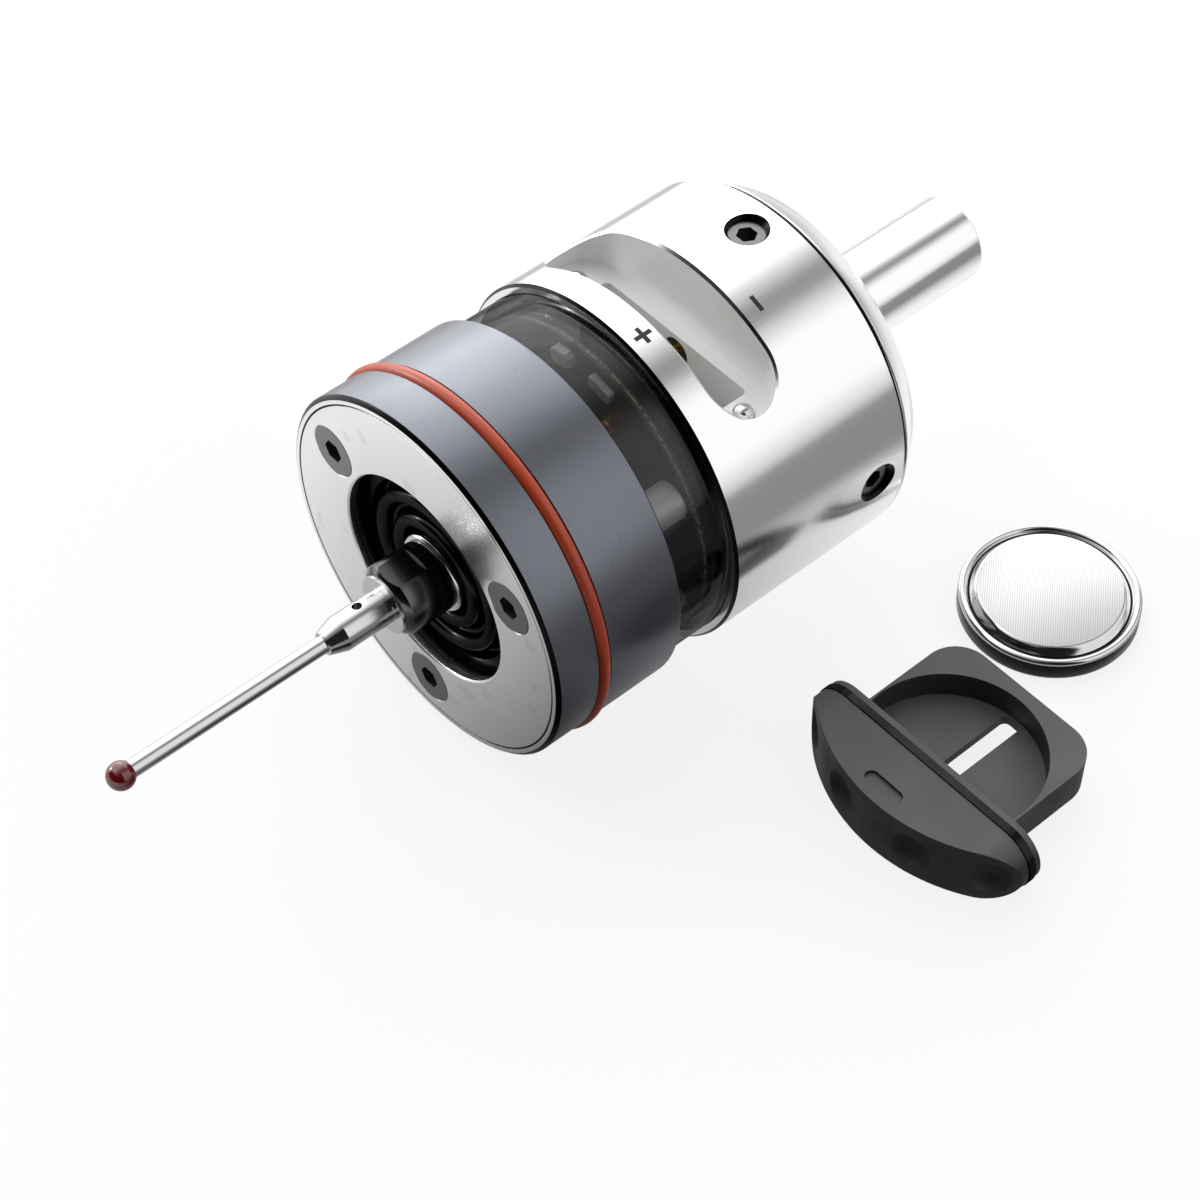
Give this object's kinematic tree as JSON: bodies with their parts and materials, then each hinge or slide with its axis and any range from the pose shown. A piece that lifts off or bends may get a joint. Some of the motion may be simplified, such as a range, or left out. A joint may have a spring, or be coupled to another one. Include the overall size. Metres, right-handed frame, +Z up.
{
  "type": "three-dimensional edge finder",
  "caption": "Cordless touch probe for a machine spindle: round shank, disc body with a clear lamp window, swivelling ball-ended stylus, removable battery tray and coin cell.",
  "frame": {"origin": "on the probe's axis where the shank leaves the rear disc", "axes": "+Y along the shank to its free end, +Z up (the battery slot's side), +X to the side where the tray and the cell lie"},
  "size_m": [0.0798, 0.1148, 0.0428],
  "materials": {
    "turned_metal": "fine turned, satin to bright",
    "dark_screw_steel": "blackened, slightly worn",
    "black_plastic": "satin",
    "gilt_brass": "gilded, bright",
    "polished_steel": "polished",
    "clear_window": "clear acrylic, polished",
    "black_rubber": "moulded, soft sheen",
    "blue_grey_anodised": "anodised, satin",
    "orange_rubber": "moulded, matte",
    "satin_metal": "satin",
    "black_metal": "black anodised, semi-gloss",
    "hard_steel": "ground",
    "spring_steel": "drawn wire, oiled",
    "board_laminate": "black solder mask, pale laminate edge",
    "pale_lamp": "translucent epoxy",
    "dark_chip": "moulded epoxy",
    "red_ruby": "polished synthetic ruby",
    "dark_plastic": "moulded, satin"
  },
  "bodies": {
    "probe": {"shank_flange": "turned_metal", "adjusting_screws": "dark_screw_steel", "battery_ring": "turned_metal", "battery_sleeves": "black_plastic", "slot_seat_balls": "polished_steel", "window_ring": "clear_window", "front_window_gasket": "black_rubber", "rear_window_gasket": "black_rubber", "front_housing": "blue_grey_anodised", "sealing_cord": "orange_rubber", "face_plate": "satin_metal", "face_screws": "dark_screw_steel", "stylus_boot": "black_rubber", "guide_balls": "polished_steel", "guide_ring": "black_plastic", "seat_ring": "hard_steel", "circuit_board": "board_laminate", "board_lamps": "pale_lamp", "board_chips": "dark_chip", "contact_posts": "gilt_brass", "battery_tray": "dark_plastic", "tray_gasket": "black_rubber", "coin_cell": "polished_steel"},
    "follower": {"spring_follower": "hard_steel", "return_spring": "spring_steel"},
    "thrust_ball": {"thrust_ball": "polished_steel"},
    "stylus": {"swivel_collar": "hard_steel", "guide_pins": "polished_steel", "snap_ring": "polished_steel", "collar_ring": "satin_metal", "stylus_holder": "black_metal", "stylus_base": "polished_steel", "stylus_stem": "polished_steel", "ruby_ball": "red_ruby"},
    "plus_pin": {"plus_contact": "gilt_brass"},
    "minus_pin": {"minus_contact": "gilt_brass"}
  },
  "joints": [
    {"name": "push_in", "type": "slide", "parent": "probe", "child": "follower", "axis": [0, 1, 0], "range_m": [0, 0.003], "stiffness_N_per_m": 900, "springref_m": -0.004, "deforming": ["return_spring", "stylus_boot"]},
    {"name": "tilt_x", "type": "hinge", "parent": "follower", "child": "thrust_ball", "pos_m": [0, -0.03805, 0], "axis": [1, 0, 0], "range_deg": [-6, 6], "stiffness_Nm_per_rad": 0.3, "deforming": ["stylus_boot"]},
    {"name": "tilt_z", "type": "hinge", "parent": "thrust_ball", "child": "stylus", "pos_m": [0, -0.03805, 0], "axis": [0, 0, 1], "range_deg": [-6, 6], "stiffness_Nm_per_rad": 0.3, "deforming": ["stylus_boot"]},
    {"name": "plus_contact_press", "type": "slide", "parent": "probe", "child": "plus_pin", "axis": [0, -1, 0], "range_m": [0, 0.0008], "stiffness_N_per_m": 600, "springref_m": -0.001},
    {"name": "minus_contact_press", "type": "slide", "parent": "probe", "child": "minus_pin", "axis": [0, 1, 0], "range_m": [0, 0.0008], "stiffness_N_per_m": 600, "springref_m": -0.001}
  ]
}
